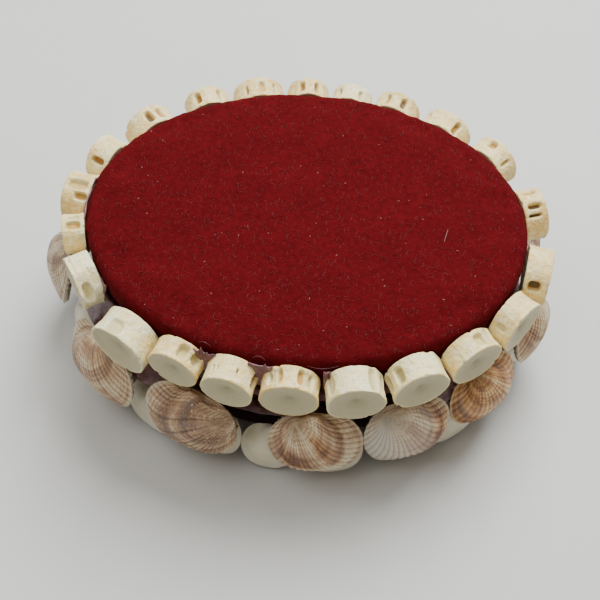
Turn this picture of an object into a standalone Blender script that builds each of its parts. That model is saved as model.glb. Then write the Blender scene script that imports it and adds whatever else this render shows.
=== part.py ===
"""Shell-work pin cushion: a tapered oval card box, stuffed and covered with red velvet.

A ring of fish vertebrae stands on edge round the velvet. Below it a row of ribbed cockle valves hangs round
the box, and a row of small smooth clam valves closes the foot. Everything is held by beads of glue.
Lengths are in metres, +X runs along the oval, +Z is up, and the origin is the middle of the flat base.
"""

import math

import bmesh
import bpy
from mathutils import Matrix, Vector

MM = 0.001

# Driving dimensions of the velvet oval and of the box under it
PAD_LONG = 44.6 * MM  # half length of the velvet oval
PAD_WIDE = 34.0 * MM  # half width
PAD_EDGE_Z = 34.5 * MM  # height of the velvet's rim above the table
PAD_CROWN = 1.6 * MM  # how much the padding stands up in the middle
CROWN_SHARES = (0.85, 0.6, 0.3)  # where the crown's rings lie, from the rim in to the middle
RIM_ROLL = 1.0 * MM  # radius of the cloth's roll over the wall
CLOTH = 0.8 * MM  # velvet, backing and pile together
CLOTH_TURN_DOWN = 6.0 * MM  # how far the cloth is turned down over the box wall
CARD = 2.0 * MM  # thickness of the box wall and of the base board
WALL_TOP_INSET = CLOTH + 0.5 * MM  # from the oval in to the wall's outer face, at the top
WALL_FOOT_INSET = 4.0 * MM  # the same at the foot, so the box tapers
GAP = 0.3 * MM  # air left between two pieces that touch
OVAL_SIDES = 48

# Fish vertebrae: short spools with a hollow cone in each face, standing on edge against the rim
VERTEBRA_TOP_Z = PAD_EDGE_Z + 1.0 * MM
VERTEBRA_SIDES = 20
VERTEBRA_DISH = 0.24  # depth of the cone in each face, as a share of the thickness
VERTEBRA_WAIST = 0.965  # radius half way along, as a share of the radius
VERTEBRA_LIP = 0.4 * MM  # width of the rounded lip of each face
# Turn round the oval (degrees), diameter, thickness (mm), and turn about its own upright (degrees)
VERTEBRAE = (
    (-131.0, 12.6, 6.0, 6.0),
    (-116.0, 10.4, 4.6, 2.0),
    (-102.3, 10.2, 5.4, 0.0),
    (-88.3, 11.3, 4.8, 0.0),
    (-73.3, 11.4, 5.4, -1.0),
    (-58.0, 11.4, 5.2, 0.0),
    (-42.4, 11.1, 4.6, -3.0),
    (-25.6, 11.0, 4.8, -4.0),
    (-7.0, 11.6, 5.0, 2.0),
    (16.0, 11.0, 5.0, 0.0),
    (38.0, 11.0, 5.2, 3.0),
    (55.0, 11.4, 5.2, 0.0),
    (70.0, 10.2, 5.0, -2.0),
    (82.5, 9.0, 4.6, 0.0),
    (94.5, 9.4, 4.8, 2.0),
    (108.0, 11.6, 5.6, 0.0),
    (122.5, 10.2, 5.2, -3.0),
    (140.5, 11.4, 5.6, 0.0),
    (158.0, 10.0, 5.4, 2.0),
    (174.5, 10.6, 5.8, 0.0),
    (190.0, 8.4, 4.6, 0.0),
    (206.0, 11.4, 4.8, 2.0),
)

# Cockle valves: hung by the beak under the vertebrae, ribs fanning down
COCKLE_BEAK_Z = 22.8 * MM
COCKLE_BEAK_OUT = 3.4 * MM  # beak of the shell, out from the oval
COCKLE_LEAN = 14.0  # degrees that the shell's mouth leans out at the bottom
COCKLE_WALL = 1.1 * MM
COCKLE_GROWTH = 1.05  # how fast the valve shrinks as it curls towards the beak
COCKLE_GRID = (12, 5)  # faces round the margin, and from the beak to the margin
# Turn round the oval (degrees), width, height (mm), roll in its own plane (degrees), extra stand-off (mm)
COCKLES = (
    (-141.5, 21.5, 16.8, -6.0, 1.4),
    (-111.0, 20.5, 18.0, 8.0, 0.0),
    (-82.7, 19.0, 17.5, -3.0, 0.0),
    (-59.0, 18.4, 17.3, 5.0, -0.4),
    (-38.0, 17.6, 16.5, -8.0, -1.0),
    (-9.0, 17.5, 15.5, 4.0, -1.2),
    (22.0, 19.5, 16.8, -5.0, -0.6),
    (50.5, 19.8, 17.6, 3.0, 0.0),
    (77.5, 19.8, 17.0, 6.0, 0.2),
    (103.0, 20.4, 17.8, -4.0, 0.0),
    (129.0, 20.4, 17.4, 5.0, 0.4),
    (156.0, 19.6, 17.0, -5.0, 0.8),
    (184.0, 18.5, 16.2, 4.0, 1.8),
)

# Smooth clam valves round the foot
CLAM_BEAK_Z = 11.4 * MM
CLAM_BEAK_OUT = 0.5 * MM
CLAM_LEAN = 27.0
CLAM_WALL = 1.0 * MM
CLAM_GROWTH = 1.5
CLAM_GRID = (8, 4)
# As for the cockles: turn, width, height, roll and extra stand-off
CLAMS = (
    (-163.0, 13.4, 11.0, 5.0, 2.2),
    (-144.0, 13.2, 11.2, -4.0, 1.4),
    (-125.0, 13.8, 11.4, 6.0, 1.0),
    (-108.5, 11.6, 10.8, -5.0, 0.2),
    (-93.5, 11.6, 11.2, 3.0, 0.4),
    (-78.5, 12.6, 11.4, -6.0, 0.4),
    (-61.5, 11.8, 10.8, 4.0, 0.0),
    (-45.0, 12.8, 11.0, -3.0, 0.0),
    (-26.0, 12.6, 10.8, 5.0, -0.4),
    (-7.0, 12.4, 11.0, -4.0, -0.6),
    (14.0, 12.6, 10.8, 3.0, -0.4),
    (36.5, 14.0, 11.2, -5.0, 0.0),
    (58.5, 14.2, 11.0, 4.0, 0.0),
    (79.5, 14.4, 11.2, -3.0, 0.2),
    (100.5, 14.4, 11.0, 5.0, 0.2),
    (122.0, 14.2, 11.2, -4.0, 0.4),
    (144.5, 13.6, 10.8, 3.0, 0.6),
    (169.0, 13.2, 11.0, -5.0, 1.4),
)
MARGIN_HALF_TURN = math.radians(160.0)  # how far round its oval a valve's margin runs, each way
MARGIN_SHOULDER = 0.75  # 1 gives a valve an oval outline, and less gives it squarer shoulders
MOST_CURL = math.radians(115.0)  # how far the beak turns out over the hinge
YOUNGEST = 0.01  # the smallest growth line whose curl is worked out, as a share of the margin

# Beads of glue run round the wall, under the vertebrae and behind the clams
GLUE_UPPER_Z = 22.6 * MM
GLUE_LOWER_Z = 13.4 * MM
GLUE_HEIGHT = 1.5 * MM
GLUE_WIDTH = 2.6 * MM
GLUE_SHOULDER = 0.7  # share of the bead's width at which its rounding starts


def clear_scene():
    for item in list(bpy.data.objects):
        bpy.data.objects.remove(item, do_unlink=True)


def finish(name, color, roughness):
    """A Principled material with one colour and one roughness."""
    made = bpy.data.materials.new(name)
    made.use_nodes = True
    shader = made.node_tree.nodes["Principled BSDF"]
    shader.inputs["Base Color"].default_value = (*color, 1.0)
    shader.inputs["Roughness"].default_value = roughness
    shader.inputs["Metallic"].default_value = 0.0
    made.diffuse_color = (*color, 1.0)
    return made


def add_object(name, bm, material):
    """Turn a bmesh into a named object with smooth faces and sharp creases."""
    bmesh.ops.recalc_face_normals(bm, faces=bm.faces)
    mesh = bpy.data.meshes.new(name)
    bm.to_mesh(mesh)
    bm.free()
    mesh.materials.append(material)
    mesh.shade_smooth()
    mesh.set_sharp_from_angle(angle=math.radians(40.0))
    made = bpy.data.objects.new(name, mesh)
    bpy.context.scene.collection.objects.link(made)
    return made


def oval_point(turn, out=0.0):
    """A point of the velvet oval and its outward direction, at a turn in radians, moved out by a distance."""
    normal = Vector((math.cos(turn) / PAD_LONG, math.sin(turn) / PAD_WIDE, 0.0)).normalized()
    point = Vector((PAD_LONG * math.cos(turn), PAD_WIDE * math.sin(turn), 0.0))
    return point + normal * out, normal


def skin_ovals(bm, places, closed):
    """Extrude one oval ring of edges through (out, height, share) places, and return its first edges.

    Out moves the ring out from the velvet oval, and share then shrinks it. A closed run ends on its own first
    ring. An open run gets a flat end on its last ring, and its first ring stays open.
    """
    turn = bm.verts.layers.float.new("turn")
    ring = bmesh.ops.create_circle(bm, segments=OVAL_SIDES, radius=1.0)["verts"]
    for vertex in ring:
        vertex[turn] = math.atan2(vertex.co.y, vertex.co.x)
    first = list({edge for vertex in ring for edge in vertex.link_edges})
    edges = first
    route = places + places[:1] if closed else places
    for number, (out, z, share) in enumerate(route):
        if number > 0:
            made = bmesh.ops.extrude_edge_only(bm, edges=edges)["geom"]
            edges = [item for item in made if isinstance(item, bmesh.types.BMEdge)]
            ring = [item for item in made if isinstance(item, bmesh.types.BMVert)]
        for vertex in ring:
            point, _ = oval_point(vertex[turn], out)
            vertex.co = Vector((point.x * share, point.y * share, z))
    if closed:
        bmesh.ops.remove_doubles(bm, verts=bm.verts, dist=0.001 * MM)
    else:
        bmesh.ops.contextual_create(bm, geom=edges)
    return first


def wall_inset(z):
    """How far the wall's outer face lies inside the velvet oval at a height."""
    share = z / (PAD_EDGE_Z - CLOTH)
    return WALL_FOOT_INSET + (WALL_TOP_INSET - WALL_FOOT_INSET) * share


def build_base_board(material):
    bm = bmesh.new()
    places = [(-wall_inset(z) - CARD - GAP, z, 1.0) for z in (0.0, CARD)]
    foot = skin_ovals(bm, places, closed=False)
    bmesh.ops.contextual_create(bm, geom=foot)
    return add_object("base_board", bm, material)


def build_side_wall(material):
    """The tapered tube of card. It stands a hair off the table, so that the part rests on its base board."""
    low = GAP
    high = PAD_EDGE_Z - CLOTH - GAP
    bm = bmesh.new()
    places = [
        (-wall_inset(low), low, 1.0),
        (-wall_inset(high), high, 1.0),
        (-wall_inset(high) - CARD, high, 1.0),
        (-wall_inset(low) - CARD, low, 1.0),
    ]
    skin_ovals(bm, places, closed=True)
    return add_object("side_wall", bm, material)


def crown(share):
    """Height that the padding adds at a share of the way from the middle to the rim."""
    return PAD_CROWN * (1.0 - share**3)


def build_stuffing(material):
    """The packed filling, inside the wall and up to the underside of the cloth."""
    low = CARD + GAP
    high = PAD_EDGE_Z - CLOTH - GAP
    bm = bmesh.new()
    places = [(-wall_inset(z) - CARD - GAP, z, 1.0) for z in (low, high)]
    places += [(places[-1][0], high + crown(share), share) for share in CROWN_SHARES]
    foot = skin_ovals(bm, places, closed=False)
    bmesh.ops.contextual_create(bm, geom=foot)
    return add_object("stuffing", bm, material)


def build_velvet_cover(material):
    """The cloth: a crowned top with a rolled rim, turned down outside the wall, and open underneath."""
    hem = PAD_EDGE_Z - CLOTH_TURN_DOWN
    top = PAD_EDGE_Z
    bm = bmesh.new()
    places = [(0.0, hem, 1.0), (0.0, top - RIM_ROLL, 1.0), (-RIM_ROLL, top, 1.0)]
    places += [(0.0, top + crown(share), share) for share in CROWN_SHARES]
    skin_ovals(bm, places, closed=False)
    cover = add_object("velvet_cover", bm, material)
    thickness = cover.modifiers.new("cloth", "SOLIDIFY")
    thickness.thickness = CLOTH
    thickness.offset = -1.0
    thickness.use_even_offset = True
    return cover


def build_glue_bead(name, z, material):
    """A flat bead of glue laid round the wall, clear of the taper at both its edges."""
    bm = bmesh.new()
    low = z - GLUE_HEIGHT / 2
    high = z + GLUE_HEIGHT / 2
    start = GAP - wall_inset(high)
    shoulder = start + GLUE_WIDTH * GLUE_SHOULDER
    places = [
        (start, low, 1.0),
        (shoulder, low, 1.0),
        (start + GLUE_WIDTH, z, 1.0),
        (shoulder, high, 1.0),
        (start, high, 1.0),
    ]
    skin_ovals(bm, places, closed=True)
    return add_object(name, bm, material)


def stand_on_ring(piece, turn, out, z, swing=0.0):
    """Place a piece on the oval, its own -Y pointing out, swung about the upright by an angle."""
    point, normal = oval_point(turn, out)
    piece.location = (point.x, point.y, z)
    piece.rotation_euler = (0.0, 0.0, math.atan2(normal.y, normal.x) + math.pi / 2 + swing)


def build_vertebra(name, diameter, thickness, material):
    """A short spool, turned about its own Y axis, with a hollow cone in each face."""
    radius = diameter / 2
    half = thickness / 2
    profile = (
        (0.0, half * (1.0 - 2.0 * VERTEBRA_DISH)),
        (radius - VERTEBRA_LIP, half),
        (radius, half - VERTEBRA_LIP),
        (radius * VERTEBRA_WAIST, 0.0),
        (radius, VERTEBRA_LIP - half),
        (radius - VERTEBRA_LIP, -half),
        (0.0, -half * (1.0 - 2.0 * VERTEBRA_DISH)),
    )
    bm = bmesh.new()
    chain = [bm.verts.new((across, along, 0.0)) for across, along in profile]
    edges = [bm.edges.new(pair) for pair in zip(chain, chain[1:])]
    bmesh.ops.spin(
        bm,
        geom=chain + edges,
        axis=(0.0, 1.0, 0.0),
        cent=(0.0, 0.0, 0.0),
        angle=2.0 * math.pi,
        steps=VERTEBRA_SIDES,
        use_merge=True,
    )
    bmesh.ops.remove_doubles(bm, verts=bm.verts, dist=0.001 * MM)
    return add_object(name, bm, material)


def add_vertebrae(material):
    for number, (turn, diameter, thickness, swing) in enumerate(VERTEBRAE, start=1):
        radius = diameter * MM / 2
        swing = math.radians(swing)
        piece = build_vertebra(f"vertebra_{number:02d}", diameter * MM, thickness * MM, material)
        stand_off = thickness * MM / 2 + radius * abs(math.sin(swing)) + GAP
        stand_on_ring(piece, math.radians(turn), stand_off, VERTEBRA_TOP_Z - radius, swing)


def build_valve(name, width, height, growth, wall, grid, lean, roll, material):
    """One valve of a bivalve, hanging from its beak at the origin and bulging towards -Y.

    Each growth line is the margin, shrunk towards the beak and turned outwards about the hinge as it shrinks.
    """
    bm = bmesh.new()
    bmesh.ops.create_grid(bm, x_segments=grid[0], y_segments=grid[1], size=1.0)
    for vertex in bm.verts:
        across = vertex.co.x * MARGIN_HALF_TURN
        age = (vertex.co.y + 1.0) / 2.0
        side = math.copysign(abs(math.sin(across)) ** MARGIN_SHOULDER, across)
        margin = Vector((side * width, 0.0, -(1.0 + math.cos(across)) * height)) / 2
        curl = min(-math.log(max(age, YOUNGEST)) / growth, MOST_CURL)
        vertex.co = Matrix.Rotation(-curl, 3, "X") @ (margin * age)
    bmesh.ops.remove_doubles(bm, verts=bm.verts, dist=0.001 * MM)
    tilt = Matrix.Rotation(-lean, 3, "X") @ Matrix.Rotation(roll, 3, "Y")
    bmesh.ops.transform(bm, matrix=tilt.to_4x4(), verts=bm.verts)
    valve = add_object(name, bm, material)
    if sum(face.normal.y * face.area for face in valve.data.polygons) > 0.0:
        valve.data.flip_normals()
    thickness = valve.modifiers.new("shell", "SOLIDIFY")
    thickness.thickness = wall
    thickness.offset = -1.0
    return valve


def add_cockles(material):
    for number, (turn, width, height, roll, extra) in enumerate(COCKLES, start=1):
        piece = build_valve(
            f"cockle_{number:02d}",
            width * MM,
            height * MM,
            COCKLE_GROWTH,
            COCKLE_WALL,
            COCKLE_GRID,
            math.radians(COCKLE_LEAN),
            math.radians(roll),
            material,
        )
        stand_on_ring(piece, math.radians(turn), COCKLE_BEAK_OUT + extra * MM, COCKLE_BEAK_Z)


def add_clams(material):
    for number, (turn, width, height, roll, extra) in enumerate(CLAMS, start=1):
        piece = build_valve(
            f"foot_shell_{number:02d}",
            width * MM,
            height * MM,
            CLAM_GROWTH,
            CLAM_WALL,
            CLAM_GRID,
            math.radians(CLAM_LEAN),
            math.radians(roll),
            material,
        )
        stand_on_ring(piece, math.radians(turn), CLAM_BEAK_OUT + extra * MM, CLAM_BEAK_Z)


def main():
    clear_scene()
    card = finish("card", (0.16, 0.11, 0.09), 0.85)
    wadding = finish("wadding", (0.55, 0.48, 0.36), 0.95)
    velvet = finish("velvet", (0.19, 0.006, 0.008), 0.95)
    glue = finish("glue", (0.62, 0.42, 0.38), 0.35)
    bone = finish("bone", (0.72, 0.66, 0.50), 0.5)
    cockle = finish("cockle_shell", (0.42, 0.30, 0.22), 0.45)
    clam = finish("clam_shell", (0.70, 0.66, 0.50), 0.3)

    build_base_board(card)
    build_side_wall(card)
    build_stuffing(wadding)
    build_velvet_cover(velvet)
    build_glue_bead("glue_bead_upper", GLUE_UPPER_Z, glue)
    build_glue_bead("glue_bead_lower", GLUE_LOWER_Z, glue)
    add_vertebrae(bone)
    add_cockles(cockle)
    add_clams(clam)


main()
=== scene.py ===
# %% [markdown]
# # A shell-work pin cushion
# A small oval card box, stuffed and covered with red velvet, with its sides hidden under three rows of sea
# pieces: fish vertebrae on edge round the velvet, ribbed cockle valves below them, and small smooth clam
# valves at the foot. The imported solids give every place and size. This script builds each visible piece
# again with the detail that the solids leave out, exactly where its solid stands.

# %% Load the imported solids
import math
import random

import bmesh
import bpy
import numpy as np
from mathutils import Matrix, Vector, noise
from mathutils.bvhtree import BVHTree


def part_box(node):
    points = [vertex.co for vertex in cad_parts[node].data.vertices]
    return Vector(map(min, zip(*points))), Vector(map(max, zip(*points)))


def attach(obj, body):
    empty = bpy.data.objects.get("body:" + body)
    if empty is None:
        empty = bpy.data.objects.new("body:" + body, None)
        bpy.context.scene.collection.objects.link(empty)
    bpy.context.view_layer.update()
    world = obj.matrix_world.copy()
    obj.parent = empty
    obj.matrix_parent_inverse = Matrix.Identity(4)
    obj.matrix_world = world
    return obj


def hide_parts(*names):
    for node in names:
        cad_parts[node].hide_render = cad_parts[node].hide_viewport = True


MM = 0.001
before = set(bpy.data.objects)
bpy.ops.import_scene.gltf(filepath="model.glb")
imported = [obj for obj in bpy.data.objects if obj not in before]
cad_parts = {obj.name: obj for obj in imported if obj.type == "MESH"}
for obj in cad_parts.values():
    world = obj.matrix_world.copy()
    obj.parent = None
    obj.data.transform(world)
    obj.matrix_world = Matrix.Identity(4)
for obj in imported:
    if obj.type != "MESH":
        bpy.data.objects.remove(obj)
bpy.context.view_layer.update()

# %% [markdown]
# ## The oval
# Every row of pieces follows the rim of the velvet, which is a true ellipse. Its half lengths and its
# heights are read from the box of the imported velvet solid. A place on it is an angle, here called a turn,
# and a distance out from the rim. The outward direction of an ellipse isn't the direction from its middle,
# so it is worked out from the slope of the curve.

# %% Measure the oval
velvet_low, velvet_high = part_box("velvet_cover")
PAD_LONG = (velvet_high.x - velvet_low.x) / 2
PAD_WIDE = (velvet_high.y - velvet_low.y) / 2
PAD_CROWN = 1.6 * MM  # how much the padding stands up in the middle
RIM_Z = velvet_high.z - PAD_CROWN
HEM_Z = velvet_low.z


def oval_point(turn, out=0.0):
    """A point of the velvet oval and its outward direction, at a turn in radians, moved out by a distance."""
    normal = Vector((math.cos(turn) / PAD_LONG, math.sin(turn) / PAD_WIDE, 0.0)).normalized()
    point = Vector((PAD_LONG * math.cos(turn), PAD_WIDE * math.sin(turn), 0.0))
    return point + normal * out, normal


print("oval and height of its rim (mm):", [round(x / MM, 1) for x in (2 * PAD_LONG, 2 * PAD_WIDE, RIM_Z)])

# %% [markdown]
# ## Small helpers
# Colours are written as sRGB hex values, as a colour picker shows them, and turned to the linear numbers
# that shaders work in. One helper adds a node with its settings and links, and an input may be another
# node, which is then linked from its first live output. Another helper starts a Principled material, whose
# whole-surface values are set straight on the shader. Three short ones weld a copy of a imported solid, turn
# a bmesh into a mesh, and put an object into the scene. The last puts a finished mesh into the scene with
# its material: it rides on the imported body and hides the solid that it stands for.

# %% Helpers
def linear(colour):
    """The linear red, green, blue and alpha of an sRGB hex colour."""
    parts = [int(colour[i : i + 2], 16) / 255 for i in (1, 3, 5)]
    return (*[c / 12.92 if c <= 0.04045 else ((c + 0.055) / 1.055) ** 2.4 for c in parts], 1.0)


def link_from(material, source, socket):
    """Link a socket, or a node's first live output, into a socket."""
    if isinstance(source, bpy.types.Node):
        source = next(output for output in source.outputs if output.enabled)
    material.node_tree.links.new(source, socket)


def add_node(material, kind, inputs=None, stops=None, **settings):
    """Add a node. Inputs are values, hex colours, nodes or sockets. Stops are a ramp's places and colours."""
    node = material.node_tree.nodes.new("ShaderNode" + kind)
    for name, value in settings.items():
        setattr(node, name, value)
    for key, value in (inputs or {}).items():
        if isinstance(value, (bpy.types.Node, bpy.types.NodeSocket)):
            link_from(material, value, node.inputs[key])
        else:
            node.inputs[key].default_value = linear(value) if isinstance(value, str) else value
    for number, (place, colour) in enumerate(stops or ()):
        ramp = node.color_ramp.elements
        if number == 0:
            ramp.remove(ramp[-1])
            ramp[0].position = place
        element = ramp[0] if number == 0 else ramp.new(place)
        element.color = linear(colour)
    return node


def start_material(name, values):
    """A Principled material. Each value is set on the shader's own socket."""
    material = bpy.data.materials.new(name)
    material.use_nodes = True
    shader = material.node_tree.nodes["Principled BSDF"]
    for socket, value in values.items():
        shader.inputs[socket].default_value = linear(value) if isinstance(value, str) else value
    return material


def wire(material, color, normal=None):
    """Link the last colour node and the last bump node into the shader."""
    shader = material.node_tree.nodes["Principled BSDF"]
    link_from(material, color, shader.inputs["Base Color"])
    if normal:
        link_from(material, normal, shader.inputs["Normal"])


def welded_copy(node):
    """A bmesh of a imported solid, whose loose triangles are merged."""
    bm = bmesh.new()
    bm.from_mesh(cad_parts[node].data)
    bmesh.ops.remove_doubles(bm, verts=bm.verts, dist=0.001 * MM)
    return bm


def mesh_of(bm, name):
    """A mesh made from a bmesh, which is then freed."""
    mesh = bpy.data.meshes.new(name)
    bm.to_mesh(mesh)
    bm.free()
    return mesh


def link_object(name, data):
    """A new object in the scene."""
    made = bpy.data.objects.new(name, data)
    bpy.context.scene.collection.objects.link(made)
    return made


def hand_over(name, mesh, material, nodes=()):
    """Make a mesh a piece of the object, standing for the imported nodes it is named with."""
    if isinstance(mesh, bmesh.types.BMesh):
        mesh = mesh_of(mesh, name)
    mesh.materials.append(material)
    mesh.shade_smooth()
    piece = link_object(name, mesh)
    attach(piece, "root")
    if nodes:
        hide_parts(*nodes)
    return piece


def smooth(value, low=0.0, high=1.0):
    """0 below low, 1 above high, and an even S curve between them."""
    share = min(1.0, max(0.0, (value - low) / (high - low)))
    return share * share * (3.0 - 2.0 * share)


def hill(value, centre, half_width):
    """A rounded bump: 1 at the centre, falling to 0 past the half width."""
    return math.exp(-(((value - centre) / half_width) ** 2))


# %% [markdown]
# ## Camera, floor and light
# The object is seen from above and in front, about 57 degrees down, so that the velvet shows as a wide
# oval and the faces of the front vertebrae are foreshortened. It stands on a plain pale table. One wide
# soft light hangs above and behind it, which keeps the front of the rows in soft shade and lays a soft
# shadow forward of the foot. A pale sky fills the shade.

# %% Camera
CAMERA_PLACE = Vector((14.2, -127.7, 200.0)) * MM
CAMERA_AIM = Vector((-0.0654, 0.5466, -0.8348))
camera = link_object("camera", bpy.data.cameras.new("camera"))
camera.location = CAMERA_PLACE
camera.rotation_euler = CAMERA_AIM.to_track_quat("-Z", "Y").to_euler()
camera.data.sensor_width = 36.0
camera.data.angle = math.radians(32.45)
camera.data.clip_start = 0.01
bpy.context.scene.camera = camera
print("lens (mm):", round(camera.data.lens, 1))

# %% Floor and lights
FLOOR_HALF = 1.5
table = start_material("matte table top", {"Roughness": 0.6, "Specular IOR Level": 0.25})
where = add_node(table, "TexCoord").outputs["Object"]
cloudy = add_node(table, "TexNoise", {"Vector": where, "Scale": 6.0, "Detail": 3.0})
tone = add_node(table, "ValToRGB", {0: cloudy}, [(0.3, "#c9cac8"), (0.7, "#cfd0ce")])
wire(table, color=tone)
bm = bmesh.new()
bmesh.ops.create_grid(bm, x_segments=1, y_segments=1, size=FLOOR_HALF)
floor = link_object("floor", mesh_of(bm, "floor"))
floor.data.materials.append(table)


def add_light(name, place, aim, size, power, colour):
    """A square soft light at a place in metres, turned towards its aim."""
    lamp = bpy.data.lights.new(name, "AREA")
    lamp.shape = "SQUARE"
    lamp.size = size
    lamp.energy = power
    lamp.color = linear(colour)[:3]
    light = link_object(name, lamp)
    light.location = place
    light.rotation_euler = (Vector(aim) - Vector(place)).to_track_quat("-Z", "Y").to_euler()


add_light("window", (0.12, 0.34, 0.55), (0.0, 0.0, 0.02), 0.42, 8.6, "#fcfeff")
add_light("ceiling", (-0.25, -0.05, 0.7), (0.0, 0.0, 0.0), 0.5, 2.2, "#fdfeff")
sky = bpy.data.worlds.new("pale room")
sky.use_nodes = True
backdrop = sky.node_tree.nodes["Background"].inputs
backdrop["Color"].default_value = linear("#f3e8d8")
backdrop["Strength"].default_value = 0.38
bpy.context.scene.world = sky

# %% [markdown]
# ## Card box
# Inside is a tapered tube of pasteboard on a base board. Its outside is faced with a dark purple-brown
# paper, which shows only as deep gaps between the shells; that dark purple-brown is partly the paper's own
# colour and partly painted shade for the deep gaps. These two imported solids have the right shape
# already, so they stay as they are and only get a finish: paper fibre as a fine noise, about 0.6 mm long,
# and scuffed lighter patches of bare grey board underneath.

# %% Paper and board
PAPER_FIBRE = 1 / (0.6 * MM)  # a noise cell is as long as a paper fibre


def card_material(name, dark, light, scuff):
    material = start_material(name, {"Roughness": 0.9, "Specular IOR Level": 0.04})
    place = add_node(material, "TexCoord").outputs["Object"]
    fibre = add_node(material, "TexNoise", {"Vector": place, "Scale": PAPER_FIBRE, "Detail": 4.0})
    patch = add_node(material, "TexNoise", {"Vector": place, "Scale": PAPER_FIBRE / 12, "Detail": 2.0})
    tone = add_node(material, "ValToRGB", {0: fibre}, [(0.35, dark), (0.7, light)])
    worn = add_node(material, "ValToRGB", {0: patch}, [(0.62, "#000000"), (0.72, "#999999")])
    mixed = add_node(material, "Mix", {0: worn, 6: tone, 7: scuff}, data_type="RGBA")
    bump = add_node(material, "Bump", {"Height": fibre, "Distance": 0.05 * MM, "Strength": 0.6})
    wire(material, color=mixed, normal=bump)
    return material


# Dark purple-brown: partly the paper's own colour, partly painted shade for the deep gaps between the shells.
faced_card_and_gap_shade = card_material("pasteboard faced with purple paper and painted shade", "#35222a", "#4c3137", "#5c4546")
bare_board = card_material("grey base board", "#8d8577", "#a9a192", "#76705f")
for node, finish in (("side_wall", faced_card_and_gap_shade), ("base_board", bare_board)):
    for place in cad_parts[node].material_slots:
        place.material = finish
print("finished in place: side_wall, base_board")

# %% [markdown]
# ## Rings of the oval
# The velvet starts as rings of the same oval, each moved out or in and raised. One helper starts from a
# circle of edges and extrudes it through a list of places. Each vertex carries its turn in a layer, so the
# ring knows where on the oval each of its points belongs.

# %% Extrude an oval
OVAL_SIDES = 144


def oval_drum(bm, places):
    """Extrude an oval ring of edges through (out, height, share) places, and close both its ends."""
    turn = bm.verts.layers.float.new("turn")
    ring = bmesh.ops.create_circle(bm, segments=OVAL_SIDES, radius=1.0)["verts"]
    for vertex in ring:
        vertex[turn] = math.atan2(vertex.co.y, vertex.co.x)
    first = edges = bm.edges[:]
    for number, (out, z, share) in enumerate(places):
        if number > 0:
            made = bmesh.ops.extrude_edge_only(bm, edges=edges)["geom"]
            edges = [item for item in made if isinstance(item, bmesh.types.BMEdge)]
            ring = [item for item in made if isinstance(item, bmesh.types.BMVert)]
        for vertex in ring:
            point, _ = oval_point(vertex[turn], out)
            vertex.co = Vector((point.x * share, point.y * share, z))
    bmesh.ops.contextual_create(bm, geom=edges)
    bmesh.ops.contextual_create(bm, geom=first)


# %% [markdown]
# ## Filling
# Under the velvet is packed wadding, which the pins go into. Nothing of it shows from outside, but it is a
# piece of its own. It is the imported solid, welded, remeshed into even faces, and then roughened like teased
# cotton.

# %% Wadding
WADDING_VOXEL = 1.6 * MM
WADDING_ROUGH = 0.15 * MM
wadding = start_material("teased cotton wadding", {"Roughness": 1.0, "Sheen Weight": 0.3})
place = add_node(wadding, "TexCoord").outputs["Object"]
tuft = add_node(wadding, "TexNoise", {"Vector": place, "Scale": 1 / (1.5 * MM), "Detail": 5.0})
tone = add_node(wadding, "ValToRGB", {0: tuft}, [(0.3, "#d8d0c0"), (0.7, "#efe9dd")])
bump = add_node(wadding, "Bump", {"Height": tuft, "Distance": 0.4 * MM})
wire(wadding, color=tone, normal=bump)


def voxel_remesh(mesh, voxel):
    """Even square faces all over a closed mesh, through Blender's voxel remesher."""
    holder = link_object("holder", mesh)
    remesh = holder.modifiers.new("even faces", "REMESH")
    remesh.mode = "VOXEL"
    remesh.voxel_size = voxel
    seen = holder.evaluated_get(bpy.context.evaluated_depsgraph_get())
    made = bpy.data.meshes.new_from_object(seen)
    bpy.data.objects.remove(holder)
    made.materials.clear()
    return made


filling_mesh = voxel_remesh(mesh_of(welded_copy("stuffing"), "welded"), WADDING_VOXEL)
for vertex in filling_mesh.vertices:
    vertex.co -= vertex.normal * (WADDING_ROUGH * (1.0 + noise.noise(vertex.co / (3 * MM))))
filling = hand_over("wadding_fill", filling_mesh, wadding, ["stuffing"])
print("wadding faces:", len(filling_mesh.polygons))

# %% [markdown]
# ## Velvet pad
# The cover is one piece of red cotton velvet, pulled over the filling and turned down over the box wall,
# so it is a low cushion: nearly flat, a little crowned, rolled over at the rim. A cushion like that is best
# swollen by Blender's cloth simulation. It starts as an oval drum with even faces. The turned-down side is
# pinned, pressure from inside swells the top, and a cap on how far each point goes keeps the roll at the
# rim. Then the bottom is opened, the skin is given the thickness of cloth, and slow noise adds the slight
# hollows where the pile has been pressed by handling and by pins.

# %% Swell the pad
PAD_VOXEL = 1.5 * MM
CLOTH = 0.8 * MM  # velvet, backing and pile together
MOST_SWELL = 0.35 * MM
MOST_OUT = 0.5 * MM  # the velvet may press this far towards the discs
SWELL_PRESSURE = 4.0
SWELL_FRAMES = 20
PINNED_DOWN = 2.2 * MM  # the side is pinned from this far under the rim
OPEN_UNDER = 1.2 * MM  # faces that look down, up to this far above the hem, are the open bottom
PULLED_BACK = 0.45 * MM  # the cover sits this far off its middle at the top, towards the back discs
bm = bmesh.new()
places = [
    (0.0, HEM_Z, 1.0),
    (0.4 * MM, RIM_Z + 0.1 * MM, 1.0),
    (0.45 * MM, RIM_Z + 0.85 * MM, 1.0),
    (0.05 * MM, RIM_Z + 1.35 * MM, 1.0),
    (-0.9 * MM, RIM_Z + 1.5 * MM, 1.0),
    (0.0, RIM_Z + 1.6 * MM, 0.85),
    (0.0, RIM_Z + 1.65 * MM, 0.6),
    (0.0, RIM_Z + 1.7 * MM, 0.3),
]
oval_drum(bm, places)
bmesh.ops.recalc_face_normals(bm, faces=bm.faces)
pad = link_object("drum to swell", voxel_remesh(mesh_of(bm, "drum"), PAD_VOXEL))
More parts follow.
